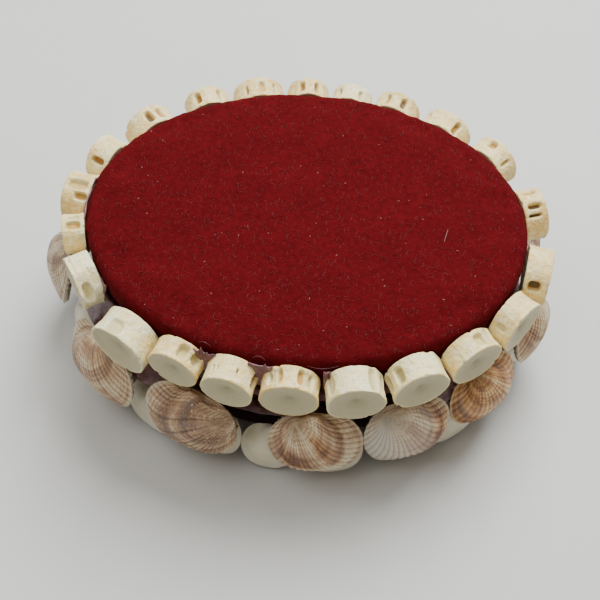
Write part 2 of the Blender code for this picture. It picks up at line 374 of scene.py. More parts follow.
pinned = pad.vertex_groups.new(name="turned down")
pinned.add([v.index for v in pad.data.vertices if v.co.z < RIM_Z - PINNED_DOWN], 1.0, "REPLACE")


def swell(piece, held):
    """Swell a mesh by the cloth simulation, cap how far each point goes, and return how many were capped."""
    cloth = piece.modifiers.new("fill", "CLOTH")
    cloth.settings.use_pressure = True
    cloth.settings.uniform_pressure_force = SWELL_PRESSURE
    cloth.settings.effector_weights.gravity = 0.0
    cloth.settings.vertex_group_mass = held.name
    cloth.point_cache.frame_start = 1
    cloth.point_cache.frame_end = SWELL_FRAMES
    for number in range(1, SWELL_FRAMES + 1):
        bpy.context.scene.frame_set(number)
    seen = piece.evaluated_get(bpy.context.evaluated_depsgraph_get())
    swollen = [v.co.copy() for v in seen.data.vertices]
    piece.modifiers.remove(cloth)
    bpy.context.scene.frame_set(1)
    capped = 0
    for vertex, place in zip(piece.data.vertices, swollen):
        step = place - vertex.co
        capped += step.length > MOST_SWELL
        vertex.co += step * min(1.0, MOST_SWELL / max(step.length, 1e-9))
        spread = math.hypot(vertex.co.x / (PAD_LONG + MOST_OUT), vertex.co.y / (PAD_WIDE + MOST_OUT))
        if spread > 1.0:
            vertex.co.x, vertex.co.y = vertex.co.x / spread, vertex.co.y / spread
    return capped


print("swollen points:", len(pad.data.vertices), "held at the cap:", swell(pad, pinned))

# %% Open, smooth and roughen the skin
HOLLOWS = 0.16 * MM
TUFTS = 0.09 * MM
bm = bmesh.new()
bm.from_mesh(pad.data)
bpy.data.objects.remove(pad)
bm.normal_update()
under = [f for f in bm.faces if f.normal.z < -0.4 and f.calc_center_median().z < HEM_Z + OPEN_UNDER]
bmesh.ops.delete(bm, geom=under, context="FACES")
bmesh.ops.smooth_vert(bm, verts=bm.verts, factor=0.4, use_axis_x=True, use_axis_y=True, use_axis_z=True)
bmesh.ops.subdivide_edges(bm, edges=bm.edges, cuts=1, use_grid_fill=True, smooth=1.0)
bm.normal_update()
for vertex in bm.verts:
    dent = noise.fractal(vertex.co / (9 * MM), 0.8, 2.0, 2) * HOLLOWS
    tuft = noise.fractal(vertex.co / (1.4 * MM), 0.7, 2.0, 3) * TUFTS
    vertex.co += vertex.normal * (dent + tuft)
    vertex.co.y += PULLED_BACK * smooth(vertex.co.z, HEM_Z, RIM_Z)
print("velvet skin faces:", len(bm.faces), "top (mm):", round(max(v.co.z for v in bm.verts) / MM, 2))

# %% [markdown]
# Velvet is a woven backing with a dense short cut pile. This one is a cheap craft velvet, nearly a felt:
# its pile lies in all directions, so it shows fine mottling instead of a weave. It is almost matte, but the
# pile tips catch light at the rim, which the sheen layer gives. Three noises colour it: pressed patches a
# few millimetres wide, tufts under a millimetre, and single fibre tips.

# %% Velvet
velvet = start_material(
    "red craft velvet",
    {"Roughness": 0.95, "Specular IOR Level": 0.07, "Sheen Weight": 0.035, "Sheen Roughness": 0.5,
     "Sheen Tint": "#b0403e"},
)
place = add_node(velvet, "TexCoord").outputs["Object"]
pressed = add_node(velvet, "TexNoise", {"Vector": place, "Scale": 1 / (7 * MM), "Detail": 3.0})
tufts = add_node(
    velvet, "TexNoise", {"Vector": place, "Scale": 1 / (1.1 * MM), "Detail": 6.0, "Roughness": 0.7}
)
tips = add_node(velvet, "TexNoise", {"Vector": place, "Scale": 1 / (0.28 * MM), "Detail": 3.0})
patch = add_node(velvet, "ValToRGB", {0: pressed}, [(0.3, "#48060b"), (0.5, "#52080e"), (0.72, "#5b0b11")])
tuft = add_node(velvet, "ValToRGB", {0: tufts}, [(0.3, "#3b0308"), (0.5, "#53080e"), (0.72, "#640e14")])
both = add_node(velvet, "Mix", {0: 0.6, 6: patch, 7: tuft}, data_type="RGBA")
tip = add_node(velvet, "ValToRGB", {0: tips}, [(0.62, "#000000"), (0.8, "#333333")])
pile = add_node(velvet, "Mix", {0: tip, 6: both, 7: "#7c2422"}, data_type="RGBA")
height = add_node(velvet, "Math", {0: tufts, 1: tips}, operation="ADD")
bump = add_node(velvet, "Bump", {"Height": height, "Distance": 0.22 * MM, "Strength": 0.75})
wire(velvet, color=pile, normal=bump)
skin_tree = BVHTree.FromBMesh(bm)
cover = hand_over("velvet_pad", bm, velvet, ["velvet_cover"])
wall = cover.modifiers.new("cloth", "SOLIDIFY")
wall.thickness = CLOTH
wall.offset = -1.0

# %% [markdown]
# ## Fuzz and lint
# Loose pile stands up from the velvet, and pale lint clings to it: short pinkish curls, a few bright
# specks, and one straight pale hair. Each is a hair-thin tube. A curve with a bevel is the easy way to a
# tube along a line, and one curve holds thousands of short splines that become one mesh in the end.

# %% Strands on the velvet
FUZZ_SEED = 7
FUZZ, LINT, SPECKS = 2800, 400, 46  # how many curls of each
HAIR_FOOT = (28.0 * MM, -3.6 * MM)
HAIR_LEAN = Vector((0.5, 2.0, 1.6))  # from its foot to its tip, in millimetres


def drop_on_velvet(x, y):
    """The point of the velvet straight below or above x, y, or None off its edge."""
    return skin_tree.ray_cast(Vector((x, y, 0.1)), Vector((0.0, 0.0, -1.0)))[0]


def strands_piece(name, lines, thickness, material):
    """One mesh of thin tubes, one along each line of points. Each thins to its ends."""
    curve = bpy.data.curves.new(name, "CURVE")
    curve.dimensions = "3D"
    curve.bevel_depth = thickness / 2
    curve.bevel_resolution = 0
    curve.use_fill_caps = True
    for line in lines:
        spline = curve.splines.new("POLY")
        spline.points.add(len(line) - 1)
        for number, (point, place) in enumerate(zip(spline.points, line)):
            point.co = (*place, 1.0)
            point.radius = 0.35 + 0.65 * math.sin(math.pi * (number + 0.5) / len(line))
    holder = bpy.data.objects.new(name, curve)
    mesh = bpy.data.meshes.new_from_object(holder)
    bpy.data.objects.remove(holder)
    return hand_over(name, mesh, material)


def random_curls(count, long, bend, lift, seed, front=0.0):
    """Lines of short curls that lie on the velvet. The share called front thins them towards the back."""
    dice = random.Random(seed)
    lines = []
    reach = 0.985  # none lies on the very edge
    steps = 5
    while len(lines) < count:
        turn, share = dice.uniform(0, 2 * math.pi), math.sqrt(dice.random()) * reach
        spot, _ = oval_point(turn)
        x, y = spot.x * share, spot.y * share
        if dice.random() < front * (0.5 + 0.5 * y / PAD_WIDE):
            continue
        heading, length = dice.uniform(0, 2 * math.pi), long * dice.uniform(0.5, 1.4)
        curl, rise = dice.uniform(-bend, bend), lift * dice.uniform(0.3, 1.5)
        line = []
        for number in range(steps + 1):
            ground = drop_on_velvet(x, y)
            if ground is None:
                break
            arch = math.sin(math.pi * (number / steps) ** 0.8)
            line.append(ground + Vector((0.0, 0.0, rise * arch)))
            heading += curl / steps + dice.uniform(-0.3, 0.3)
            x += math.cos(heading) * length / steps
            y += math.sin(heading) * length / steps
        if len(line) == steps + 1:
            lines.append(line)
    return lines


def strand_material(name, dark, light, roughness, sheen):
    """Fine fibre: one dye with slight changes along and between fibres."""
    finish = {"Roughness": roughness, "Sheen Weight": sheen, "Specular IOR Level": 0.2}
    material = start_material(name, finish)
    place = add_node(material, "TexCoord").outputs["Object"]
    change = add_node(material, "TexNoise", {"Vector": place, "Scale": 1 / (2 * MM), "Detail": 1.0})
    tone = add_node(material, "ValToRGB", {0: change}, [(0.3, dark), (0.7, light)])
    wire(material, color=tone)
    return material


red_fibre = strand_material("loose red pile", "#4e0807", "#63110f", 0.9, 0.2)
pink_fibre = strand_material("pale pink lint", "#6a2424", "#8a4240", 0.8, 0.1)
white_lint = strand_material("white lint", "#a8807a", "#cbb0a4", 0.7, 0.1)
curls = random_curls(FUZZ, 1.0 * MM, 2.2, 0.16 * MM, FUZZ_SEED)
fuzz = strands_piece("red_fuzz", curls, 0.06 * MM, red_fibre)
curls = random_curls(LINT, 1.3 * MM, 3.4, 0.2 * MM, FUZZ_SEED + 1, front=0.8)
lint = strands_piece("pink_lint", curls, 0.036 * MM, pink_fibre)
specks = random_curls(SPECKS, 0.32 * MM, 1.0, 0.12 * MM, FUZZ_SEED + 2, front=0.6)
foot = drop_on_velvet(*HAIR_FOOT)
hair = [foot + HAIR_LEAN * (MM * share) for share in (0.0, 0.35, 0.7, 1.0)]
strands_piece("white_specks", specks + [hair], 0.11 * MM, white_lint)
print("fuzz faces:", len(fuzz.data.polygons), "lint faces:", len(lint.data.polygons))

# %% [markdown]
# ## Fish vertebrae
# Each disc is one bone of a fish's spine: a short spool with a hollow cone in each face, a slightly waisted
# side, and slots in the side where the ribs and spines were rooted. The bone was cleaned and bleached, so
# it is ivory and chalky, with ochre left deep in the slots. A spool is a solid of turning, so its profile
# is spun about its own axis. The slots are then pressed into the side, point by point, as rounded
# rectangles, and noise chips the lips and scores the side along the grain of the bone. Each disc keeps
# what its own solid measures: its middle, its axis, its diameter and its thickness.

# %% Slots of each disc
# Turn from the top towards the right as seen from outside (degrees), place along the axis (-1 the outer
# face, 1 the inner), half width round the side (mm), half length as a share of the half thickness, depth
# (mm), and how ochre it is
SLOTS = {
    1: [(-8, -0.5, 2.1, 0.62, 0.5, 0.3), (10, -0.1, 0.9, 0.3, 0.15, 0.1)],
    2: [(20, 0.05, 1.3, 0.66, 1.3, 0.5), (57, 0.2, 1.3, 0.6, 1.1, 0.4), (39, -0.1, 0.5, 0.5, 0.25, 0.35)],
    3: [(-36, -0.15, 0.26, 0.3, 0.7, 1.0), (-25, -0.1, 0.2, 0.2, 0.6, 1.0), (22, 0.0, 0.2, 0.2, 0.6, 1.0),
        (74, 0.1, 0.9, 0.65, 0.8, 0.85)],
    4: [(-44, 0.05, 0.5, 0.6, 0.8, 0.55), (-21, 0.1, 0.62, 0.66, 1.0, 0.7), (24, 0.1, 0.8, 0.66, 1.0, 0.8),
        (48, 0.0, 0.5, 0.62, 0.85, 0.5), (-32, 0.05, 0.95, 0.66, 0.3, 0.35),
        (36, 0.05, 0.95, 0.66, 0.3, 0.4)],
    5: [(36, 0.0, 0.95, 1.0, 0.65, 0.4), (70, 0.1, 0.8, 0.7, 0.9, 0.9), (-58, 0.1, 1.2, 0.7, 0.35, 0.2),
        (2, 0.9, 0.7, 0.12, 0.2, 0.1)],
    6: [(-46, 0.0, 1.05, 0.66, 1.2, 0.45), (-82, 0.1, 0.9, 0.7, 0.8, 0.6)],
    7: [(14, 0.0, 1.35, 0.6, 1.1, 0.5), (42, 0.1, 1.2, 0.9, 0.5, 0.35)],
    8: [(-60, 0.1, 0.8, 0.5, 0.3, 0.3)],
    9: [(-62, 0.1, 1.3, 0.55, 1.3, 1.0), (30, -0.3, 0.3, 0.3, 0.4, 0.5)],
    10: [(24, 0.0, 0.9, 0.6, 0.6, 0.8), (-18, 0.0, 0.7, 0.6, 1.1, 1.0), (-40, 0.1, 0.45, 0.6, 0.9, 1.0)],
    11: [(10, -0.3, 1.2, 0.4, 1.0, 0.8), (-45, 0.0, 0.5, 0.5, 0.6, 0.6)],
    12: [(-34, 0.1, 0.8, 0.7, 1.1, 0.8), (48, 0.0, 0.6, 0.5, 0.7, 0.6)],
    13: [(-22, 0.0, 0.8, 0.6, 1.0, 1.0), (25, 0.0, 0.7, 0.6, 0.8, 0.8)],
    14: [(-30, 0.1, 0.6, 0.5, 0.6, 0.5), (38, 0.0, 0.5, 0.5, 0.7, 0.7)],
    15: [(-26, 0.0, 0.6, 0.6, 1.0, 0.9), (18, 0.0, 0.75, 0.6, 1.0, 0.9)],
    16: [(-40, 0.0, 0.5, 0.6, 0.9, 0.7), (-8, 0.0, 0.8, 0.55, 0.7, 0.7), (30, 0.1, 0.5, 0.5, 0.9, 0.8)],
    17: [(-34, 0.0, 0.7, 0.6, 0.8, 0.6), (28, 0.0, 0.85, 0.6, 1.1, 0.9)],
    18: [(-26, 0.0, 0.9, 0.6, 0.9, 0.9), (4, 0.0, 0.9, 0.6, 1.2, 1.0)],
    19: [(46, 0.0, 0.9, 0.6, 1.0, 0.9), (-20, -0.3, 0.4, 0.3, 0.3, 0.3)],
    20: [(4, -0.05, 1.35, 0.78, 1.1, 0.6), (34, 0.4, 0.9, 0.5, 0.9, 0.8), (-20, 0.0, 0.4, 0.6, 0.3, 0.4)],
    21: [(12, 0.0, 1.05, 0.68, 1.0, 0.7), (-14, 0.0, 0.5, 0.6, 0.5, 0.35)],
    22: [(-12, -0.66, 3.6, 0.1, 0.9, 0.04), (68, -0.3, 2.6, 0.42, 1.4, 0.04),
         (22, 0.3, 0.9, 0.12, 0.3, 0.04)],
}
print("slots:", sum(map(len, SLOTS.values())))

# %% [markdown]
# The discs differ. Some bones kept a yellow tone and others were bleached to chalk, and some were ground or
# broken flat in places. The first table gives how yellow each bone is, from 0 for chalk to 1. The second
# gives its flats: the turn they face, and how deep they cut in, as a share of the radius.

# %% Tone and flats of each disc
WARMTH = {
    1: 0.2, 2: 0.75, 3: 0.5, 4: 0.8, 5: 0.25, 6: 0.3, 7: 0.6, 8: 0.55, 9: 0.75, 10: 0.9, 11: 0.6,
    12: 0.65, 13: 0.8, 14: 0.35, 15: 0.8, 16: 0.85, 17: 0.6, 18: 0.7, 19: 0.45, 20: 0.85, 21: 0.6, 22: 0.05,
}
FLATS = {
    1: [(-30, 0.05), (24, 0.03)], 2: [(-40, 0.02)], 3: [(-58, 0.03), (60, 0.02)],
    5: [(22, 0.05), (62, 0.06), (-26, 0.03)], 6: [(62, 0.07), (18, 0.03)], 7: [(-30, 0.03)],
    9: [(-20, 0.04)], 12: [(20, 0.04)], 17: [(-10, 0.04)],
    20: [(10, 0.05)], 21: [(-5, 0.05), (60, 0.04)], 22: [(-6, 0.09), (44, 0.1), (-52, 0.05)],
}
print("discs with flats:", len(FLATS))

# %% Read a disc from its solid
def disc_of(node):
    """The middle, outward axis, radius and thickness of a packed vertebra."""
    low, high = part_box(node)
    middle = (low + high) / 2
    points = np.array([v.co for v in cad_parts[node].data.vertices]) - np.array(middle)
    flattest = np.linalg.eigh(points.T @ points)[1][:, 0]
    axis = Vector((flattest[0], flattest[1], 0.0)).normalized()
    if axis.dot(middle) < 0:
        axis = -axis
    return middle, axis, (high.z - low.z) / 2, float(np.ptp(points @ np.array(axis)))


def stand_matrix(middle, outward):
    """Own -Y points outward, own Z stays up."""
    side = (-outward).cross(Vector((0.0, 0.0, 1.0)))
    turned = Matrix((side, -outward, Vector((0.0, 0.0, 1.0)))).transposed()
    return Matrix.Translation(middle) @ turned.to_4x4()


# %% Turn a spool
DISC_STEPS = 150
SIDE_ROWS = 24
FACE_ROWS = 14
DISH = 0.22  # depth of the cone in the outer face, as a share of the thickness
INNER_DISH = 0.03  # glue and velvet fill the cone of the inner face
WAIST = 0.035  # how far the side draws in half way along, as a share of the radius
LIP = 0.45 * MM
OFF_CONE = {1: (-0.15, 0.05)}  # outer cones that are off their middle: across and up, as shares of the radius


def spool_profile(radius, half):
    """Points across and along, from the middle of the inner face, over the side, to the outer face."""
    inner, outer = [], []
    for face, dish in ((inner, INNER_DISH), (outer, DISH)):
        floor_y = half * (1.0 - 2.0 * dish)
        for row in range(FACE_ROWS):
            share = row / FACE_ROWS
            climb = 0.78 * share + 0.22 * smooth(share, 0.0, 0.5)
            face.append((share * (radius - LIP), floor_y + (half - 0.06 * MM - floor_y) * climb))
    lip = [(radius - LIP, half - 0.05 * MM), (radius - 0.6 * LIP, half)]
    lip.append((radius - 0.22 * LIP, half - 0.12 * LIP))
    side = []
    for row in range(SIDE_ROWS + 1):
        along = 1.0 - 2.0 * row / SIDE_ROWS
        side.append((radius * (1.0 - WAIST * (1.0 - along**2)), (half - 0.4 * LIP) * along))
    mirrored = [(across, -along) for across, along in reversed(outer + lip)]
    return inner + lip + side + mirrored


def rounded_slot(across, along, half_wide, half_long):
    """1 on the floor of a rounded rectangle, 0 outside it, with steep walls."""
    away = (abs(across / half_wide) ** 3.0 + abs(along / half_long) ** 3.0) ** (1 / 3.0)
    return 1.0 - smooth(away, 0.72, 1.08)


def build_disc(number, radius, thickness, grain):
    """One bone spool about its own Y axis, with its slots, chips and score marks."""
    half = thickness / 2
    bm = bmesh.new()
    chain = [bm.verts.new((across, along, 0.0)) for across, along in spool_profile(radius, half)]
    edges = [bm.edges.new(pair) for pair in zip(chain, chain[1:])]
    bmesh.ops.spin(bm, geom=chain + edges, axis=(0.0, 1.0, 0.0), cent=(0.0, 0.0, 0.0),
                   angle=2.0 * math.pi, steps=DISC_STEPS, use_merge=True)
    bmesh.ops.remove_doubles(bm, verts=bm.verts, dist=0.001 * MM)
    layers = {name: bm.verts.layers.float.new(name) for name in ("ochre", "dish", "warm")}
    own_place = bm.verts.layers.float_vector.new("own_place")
    shift = Vector((grain * 3.1, grain * 1.7, grain * 2.3))
    slots = SLOTS[number]
    for vertex in bm.verts:
        x, y, z = vertex.co
        from_axis = math.hypot(x, z)
        turn, along = math.atan2(x, z), y / half
        share = from_axis / radius
        outward = Vector((x, 0.0, z)) / max(from_axis, 1e-9)
        edge = smooth(share, 0.86, 0.97)
        vertex[layers["dish"]] = max(0.0, 1.0 - share / 0.95)
        vertex[layers["warm"]] = WARMTH[number]
        vertex[own_place] = (x + number * 50 * MM, y, z)
        move = 0.028 * radius * noise.noise(outward * 1.6 + shift)
        scored = outward * (radius / (0.3 * MM))
        scored.y = y / (2 * MM)
        move += 0.03 * MM * noise.noise(scored + shift)
        move += 0.09 * MM * noise.fractal(vertex.co / (1.1 * MM) + shift, 0.8, 2.0, 4)
        pressed, stain = 0.0, 0.0
        for slot_turn, slot_along, wide, long, depth, yellow in slots:
            turned = (turn - math.radians(slot_turn) + math.pi) % (2.0 * math.pi) - math.pi
            floor_share = rounded_slot(turned * radius, (along - slot_along) * half, wide * MM, long * half)
            pressed = max(pressed, floor_share * depth * MM)
            stain = max(stain, floor_share * yellow)
        near_lip = hill(abs(along), 1.0, 0.16) * edge
        chip = smooth(noise.noise(vertex.co / (1.6 * MM) + shift * 2.0), 0.28, 0.5) * near_lip
        vertex.co += outward * ((move - pressed - 0.22 * MM * chip) * edge)
        vertex.co.y -= math.copysign(0.14 * MM * chip, y)
        vertex.co.y += math.copysign(0.03 * MM, -y) * math.sin(from_axis / (0.42 * MM)) * (1.0 - edge)
        for facing, depth in FLATS.get(number, ()):
            flat = Vector((math.sin(math.radians(facing)), 0.0, math.cos(math.radians(facing))))
            beyond = vertex.co.dot(flat) - radius * (1.0 - depth)
            if beyond > 0.0:
                vertex.co -= flat * (0.92 * beyond)
        if number in OFF_CONE and y < 0.0 and share < 0.93:
            across, up = OFF_CONE[number]
            off = min(1.0, math.hypot(x - across * radius, z - up * radius) / (0.8 * radius))
            deep = 1.0 - 0.6 * off - 0.4 * smooth(off, 0.8, 1.0)
            vertex.co.y = -half + 0.05 * MM + 2.0 * DISH * half * deep
        vertex[layers["ochre"]] = stain * edge
    bmesh.ops.recalc_face_normals(bm, faces=bm.faces)
    return bm


# %% [markdown]
# Bleached bone is ivory and slightly translucent, so its thin lips look pink. The faces are coloured a
# grey-green cream, greyer than the side, which is painted shade for faces turned away from the light, and
# they darken towards the middle of the cone, which is painted shade in the hollow. The attribute "ochre"
# marks the slots, "dish" runs from the lip to the middle of a face and places that painted shade, and
# "warm" is how yellow the bone is. "own_place" is each point in the spool's own frame, with Y along its
# axis and in metres, so that the fine streaks, 0.4 mm apart, run along the axis, and the thin grey-green
# splits run round it. Chalky patches about 1 mm wide break up the ivory, and rare pores hold dark dirt.

# %% Bone
bone = start_material(
    "bleached fish bone",
    {"Roughness": 0.5, "IOR": 1.54, "Specular IOR Level": 0.38, "Subsurface Weight": 0.12,
     "Subsurface Radius": (1.0, 0.5, 0.3), "Subsurface Scale": 0.6 * MM},
)
place = add_node(bone, "TexCoord").outputs["Object"]
ochre, dish, warm = [
    add_node(bone, "Attribute", attribute_name=name).outputs["Fac"] for name in ("ochre", "dish", "warm")
]
own_place = add_node(bone, "Attribute", attribute_name="own_place").outputs["Vector"]
axial_space = add_node(bone, "Mapping", {"Vector": own_place, "Scale": (1.0, 0.2, 1.0)})
axial = add_node(
    bone, "TexNoise", {"Vector": axial_space, "Scale": 1 / (0.4 * MM), "Detail": 5.0, "Roughness": 0.7}
)
ring_space = add_node(bone, "Mapping", {"Vector": own_place, "Scale": (0.14, 1.0, 0.14)})
ringing = add_node(
    bone, "TexNoise", {"Vector": ring_space, "Scale": 1 / (0.42 * MM), "Detail": 4.0, "Roughness": 0.65}
)
cloud = add_node(
    bone, "TexNoise", {"Vector": place, "Scale": 1 / (3.2 * MM), "Detail": 5.0, "Roughness": 0.6}
)
pore = add_node(bone, "TexNoise", {"Vector": place, "Scale": 1 / (0.5 * MM), "Detail": 2.0})
pit = add_node(bone, "TexNoise", {"Vector": place, "Scale": 1 / (1.1 * MM), "Detail": 4.0, "Roughness": 0.6})
warm_part = add_node(bone, "Math", {0: warm, 1: 0.5, 2: -0.25}, operation="MULTIPLY_ADD")
tone = add_node(bone, "Math", {0: cloud, 1: warm_part}, operation="ADD", use_clamp=True)
ivory = add_node(
    bone, "ValToRGB", {0: tone},
    [(0.2, "#f7f1cd"), (0.38, "#f8eab0"), (0.55, "#f4da93"), (0.78, "#e6c378")],
)
scored = add_node(bone, "ValToRGB", {0: axial}, [(0.3, "#a98f62"), (0.44, "#ffffff")])
side = add_node(bone, "Mix", {0: 0.45, 6: ivory, 7: scored}, data_type="RGBA", blend_type="MULTIPLY")
chalky = add_node(bone, "ValToRGB", {0: pit}, [(0.5, "#000000"), (0.6, "#c0c0c0")])
chalked = add_node(bone, "Mix", {0: chalky, 6: side, 7: "#f6f1d0"}, data_type="RGBA")
split = add_node(bone, "ValToRGB", {0: ringing}, [(0.58, "#000000"), (0.61, "#bbbbbb"), (0.65, "#000000")])
cracked = add_node(bone, "Mix", {0: split, 6: chalked, 7: "#97946e"}, data_type="RGBA")
# Painted shade: the faces are greyer than the side and darken towards the middle of the cone.
cone_painted_shade = add_node(
    bone, "ValToRGB", {0: dish},
    [(0.0, "#cdc49e"), (0.5, "#c4bb95"), (0.8, "#bab18d"), (1.0, "#a39a79")],
)
on_face = add_node(bone, "Math", {0: dish, 1: 30.0}, operation="MULTIPLY", use_clamp=True)
body = add_node(bone, "Mix", {0: on_face, 6: cracked, 7: cone_painted_shade}, data_type="RGBA")
root = add_node(
    bone, "ValToRGB", {0: ochre},
    [(0.0, "#e9dcae"), (0.45, "#cfc188"), (0.7, "#cda457"), (0.88, "#b07b35"), (1.0, "#5f5335")],
)
in_slot = add_node(bone, "Math", {0: ochre, 1: 5.0}, operation="MULTIPLY", use_clamp=True)
stained = add_node(bone, "Mix", {0: in_slot, 6: body, 7: root}, data_type="RGBA")
dirt = add_node(bone, "ValToRGB", {0: pore}, [(0.69, "#000000"), (0.74, "#b0b0b0")])
soiled = add_node(bone, "Mix", {0: dirt, 6: stained, 7: "#77755c"}, data_type="RGBA")
grain_height = add_node(bone, "Math", {0: axial, 1: pore}, operation="SUBTRACT")
pitted = add_node(bone, "Math", {0: pit, 1: 1.6, 2: grain_height}, operation="MULTIPLY_ADD")
bump = add_node(bone, "Bump", {"Height": pitted, "Distance": 0.22 * MM, "Strength": 0.6})
wire(bone, color=soiled, normal=bump)

# %% Build the ring of discs
disc_nodes = sorted(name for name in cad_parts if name.startswith("vertebra_"))
for node in disc_nodes:
    number = int(node[-2:])
    middle, outward, radius, thickness = disc_of(node)
    bm = build_disc(number, radius, thickness, grain=number * 1.37)
    bm.transform(stand_matrix(middle, outward))
    hand_over(f"bone_disc_{number:02d}", bm, bone, [node])
print("discs:", len(disc_nodes), "last one (mm):", round(2 * radius / MM, 1), "by", round(thickness / MM, 1))

# %% [markdown]
# ## Cockle and clam valves
# A bivalve grows at its margin, and each year's margin is a larger copy of the last, turned a little about
# the hinge. So a valve is one margin curve, shrunk towards the beak and curled as it shrinks. A grid is
# bent into that shape: one way runs round the margin, the other from the beak, age 0, to the margin, age 1.
# The columns are spaced evenly along the margin, because the ribs of a real cockle are. Each valve has its
# turn round the oval, width, height, roll in its own plane and extra stand-off, the numbers its solid was
# made with.

# %% Valve shape
MARGIN_HALF_TURN = math.radians(160.0)  # how far round its oval a valve's margin runs, each way
MARGIN_SHOULDER = 0.75  # 1 gives a valve an oval outline, and less gives it squarer shoulders
MOST_CURL = math.radians(115.0)
YOUNGEST = 0.01
BEAK_WALL = 0.06  # thickness of the wall at the beak and the hinge, as a share of the rest


def margin_point(across, width, height):
    side = math.copysign(abs(math.sin(across)) ** MARGIN_SHOULDER, across)
    return Vector((side * width, 0.0, -(1.0 + math.cos(across)) * height)) / 2


def even_columns(width, height, samples=1440):
    """A function from a share of the margin's length, -1 to 1, to its angle."""
    angles = np.linspace(-MARGIN_HALF_TURN, MARGIN_HALF_TURN, samples)
    points = np.array([margin_point(a, width, height) for a in angles])
    lengths = np.concatenate([[0.0], np.cumsum(np.linalg.norm(np.diff(points, axis=0), axis=1))])
    shares = 2.0 * lengths / lengths[-1] - 1.0
    return lambda share: float(np.interp(share, shares, angles))


def valve_point(across, age, width, height, growth):
    curl = min(-math.log(max(age, YOUNGEST)) / growth, MOST_CURL)
    return Matrix.Rotation(-curl, 3, "X") @ (margin_point(across, width, height) * age)


def bend_valve(width, height, growth, grid):
    """An open valve with its beak at the origin, bulging to -Y, and layers of where each point lies."""
    bm = bmesh.new()
    share_layer = bm.verts.layers.float.new("share")
    age_layer = bm.verts.layers.float.new("age")
    wall_share = bm.verts.layers.deform.verify()
    bmesh.ops.create_grid(bm, x_segments=grid[0], y_segments=grid[1], size=1.0)
    column = even_columns(width, height)
    for vertex in bm.verts:
        share, age = vertex.co.x, (vertex.co.y + 1.0) / 2.0
        vertex[share_layer], vertex[age_layer] = share, age
        full = smooth(age, 0.12, 0.6) * smooth(1.0 - abs(share), 0.0, 0.2)
        vertex[wall_share][0] = BEAK_WALL + (1.0 - BEAK_WALL) * full
        vertex.co = valve_point(column(share), age, width, height, growth)
    bmesh.ops.remove_doubles(bm, verts=bm.verts, dist=0.002 * MM)
    bm.normal_update()
    if sum(face.normal.y * face.calc_area() for face in bm.faces) > 0:
        bmesh.ops.reverse_faces(bm, faces=bm.faces)
        bm.normal_update()
    return bm, share_layer, age_layer


def hang_valve(bm, turn, out, z, lean, roll):
    """Lean and roll a valve about its beak, then place it on the oval with its back outwards."""
    point, outward = oval_point(math.radians(turn), out)
    tilt = Matrix.Rotation(math.radians(-lean), 4, "X") @ Matrix.Rotation(math.radians(roll), 4, "Y")
    bm.transform(stand_matrix(Vector((point.x, point.y, z)), outward) @ tilt)


def grow_wall(piece, thickness):
    """Thicken an open valve inwards, by its first vertex group, which thins the tightly curled beak."""
    group = piece.vertex_groups.new(name="wall")
    wall = piece.modifiers.new("shell wall", "SOLIDIFY")
    wall.thickness = thickness
    wall.offset = -1.0
    wall.vertex_group = group.name


def solid_gap(piece, node):
    """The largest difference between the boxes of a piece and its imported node, in millimetres."""
    bpy.context.view_layer.update()
    seen = piece.evaluated_get(bpy.context.evaluated_depsgraph_get())
    corners = [Vector(c) for c in seen.bound_box]
    low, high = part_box(node)
    gaps = [abs(min(c[i] for c in corners) - low[i]) for i in range(3)]
    gaps += [abs(max(c[i] for c in corners) - high[i]) for i in range(3)]
    return max(gaps) / MM


# %% [markdown]
# ### Ribs and colours of the cockles
# A cockle has rounded ribs with narrower grooves between them, fine growth lines that cross them like a net,
# and a few deeper stops where growth paused. The margin is scalloped by the ribs. Ribs and growth
# lines are real relief here, pushed out along the surface, since they show in the outline. The colour is
# laid down by the same growing edge, so it comes in rays along the ribs and bands along the growth lines.
# Each valve keeps a layer "brown", from cream 0 to dark brown 1, a layer "orange" for its hue, and a layer
# "bluish" for the worn, chalky parts.

# %% Cockle table
COCKLE_BEAK_Z = 22.8 * MM
COCKLE_BEAK_OUT = 3.4 * MM
COCKLE_LEAN = 14.0
COCKLE_WALL = 1.1 * MM
COCKLE_GROWTH = 1.05
COCKLE_GRID = (240, 80)
RIB_HEIGHT = 0.21 * MM
SCALLOP = 0.08 * MM
FINE_LINES = 0.05 * MM
STOP_DEPTH = 0.16 * MM
NET_LINES = 19  # growth lines from the beak to the margin that cross the ribs like a net
# Some valves sit askew, so their ribs fan from a point beside the middle: its place across and down, as
# shares of the width and height
FANS = {
    2: (0.42, -0.13), 3: (-0.2, -0.1), 4: (-0.28, -0.14), 5: (-0.1, -0.1), 8: (0.25, -0.15), 10: (-0.3, -0.2),
}
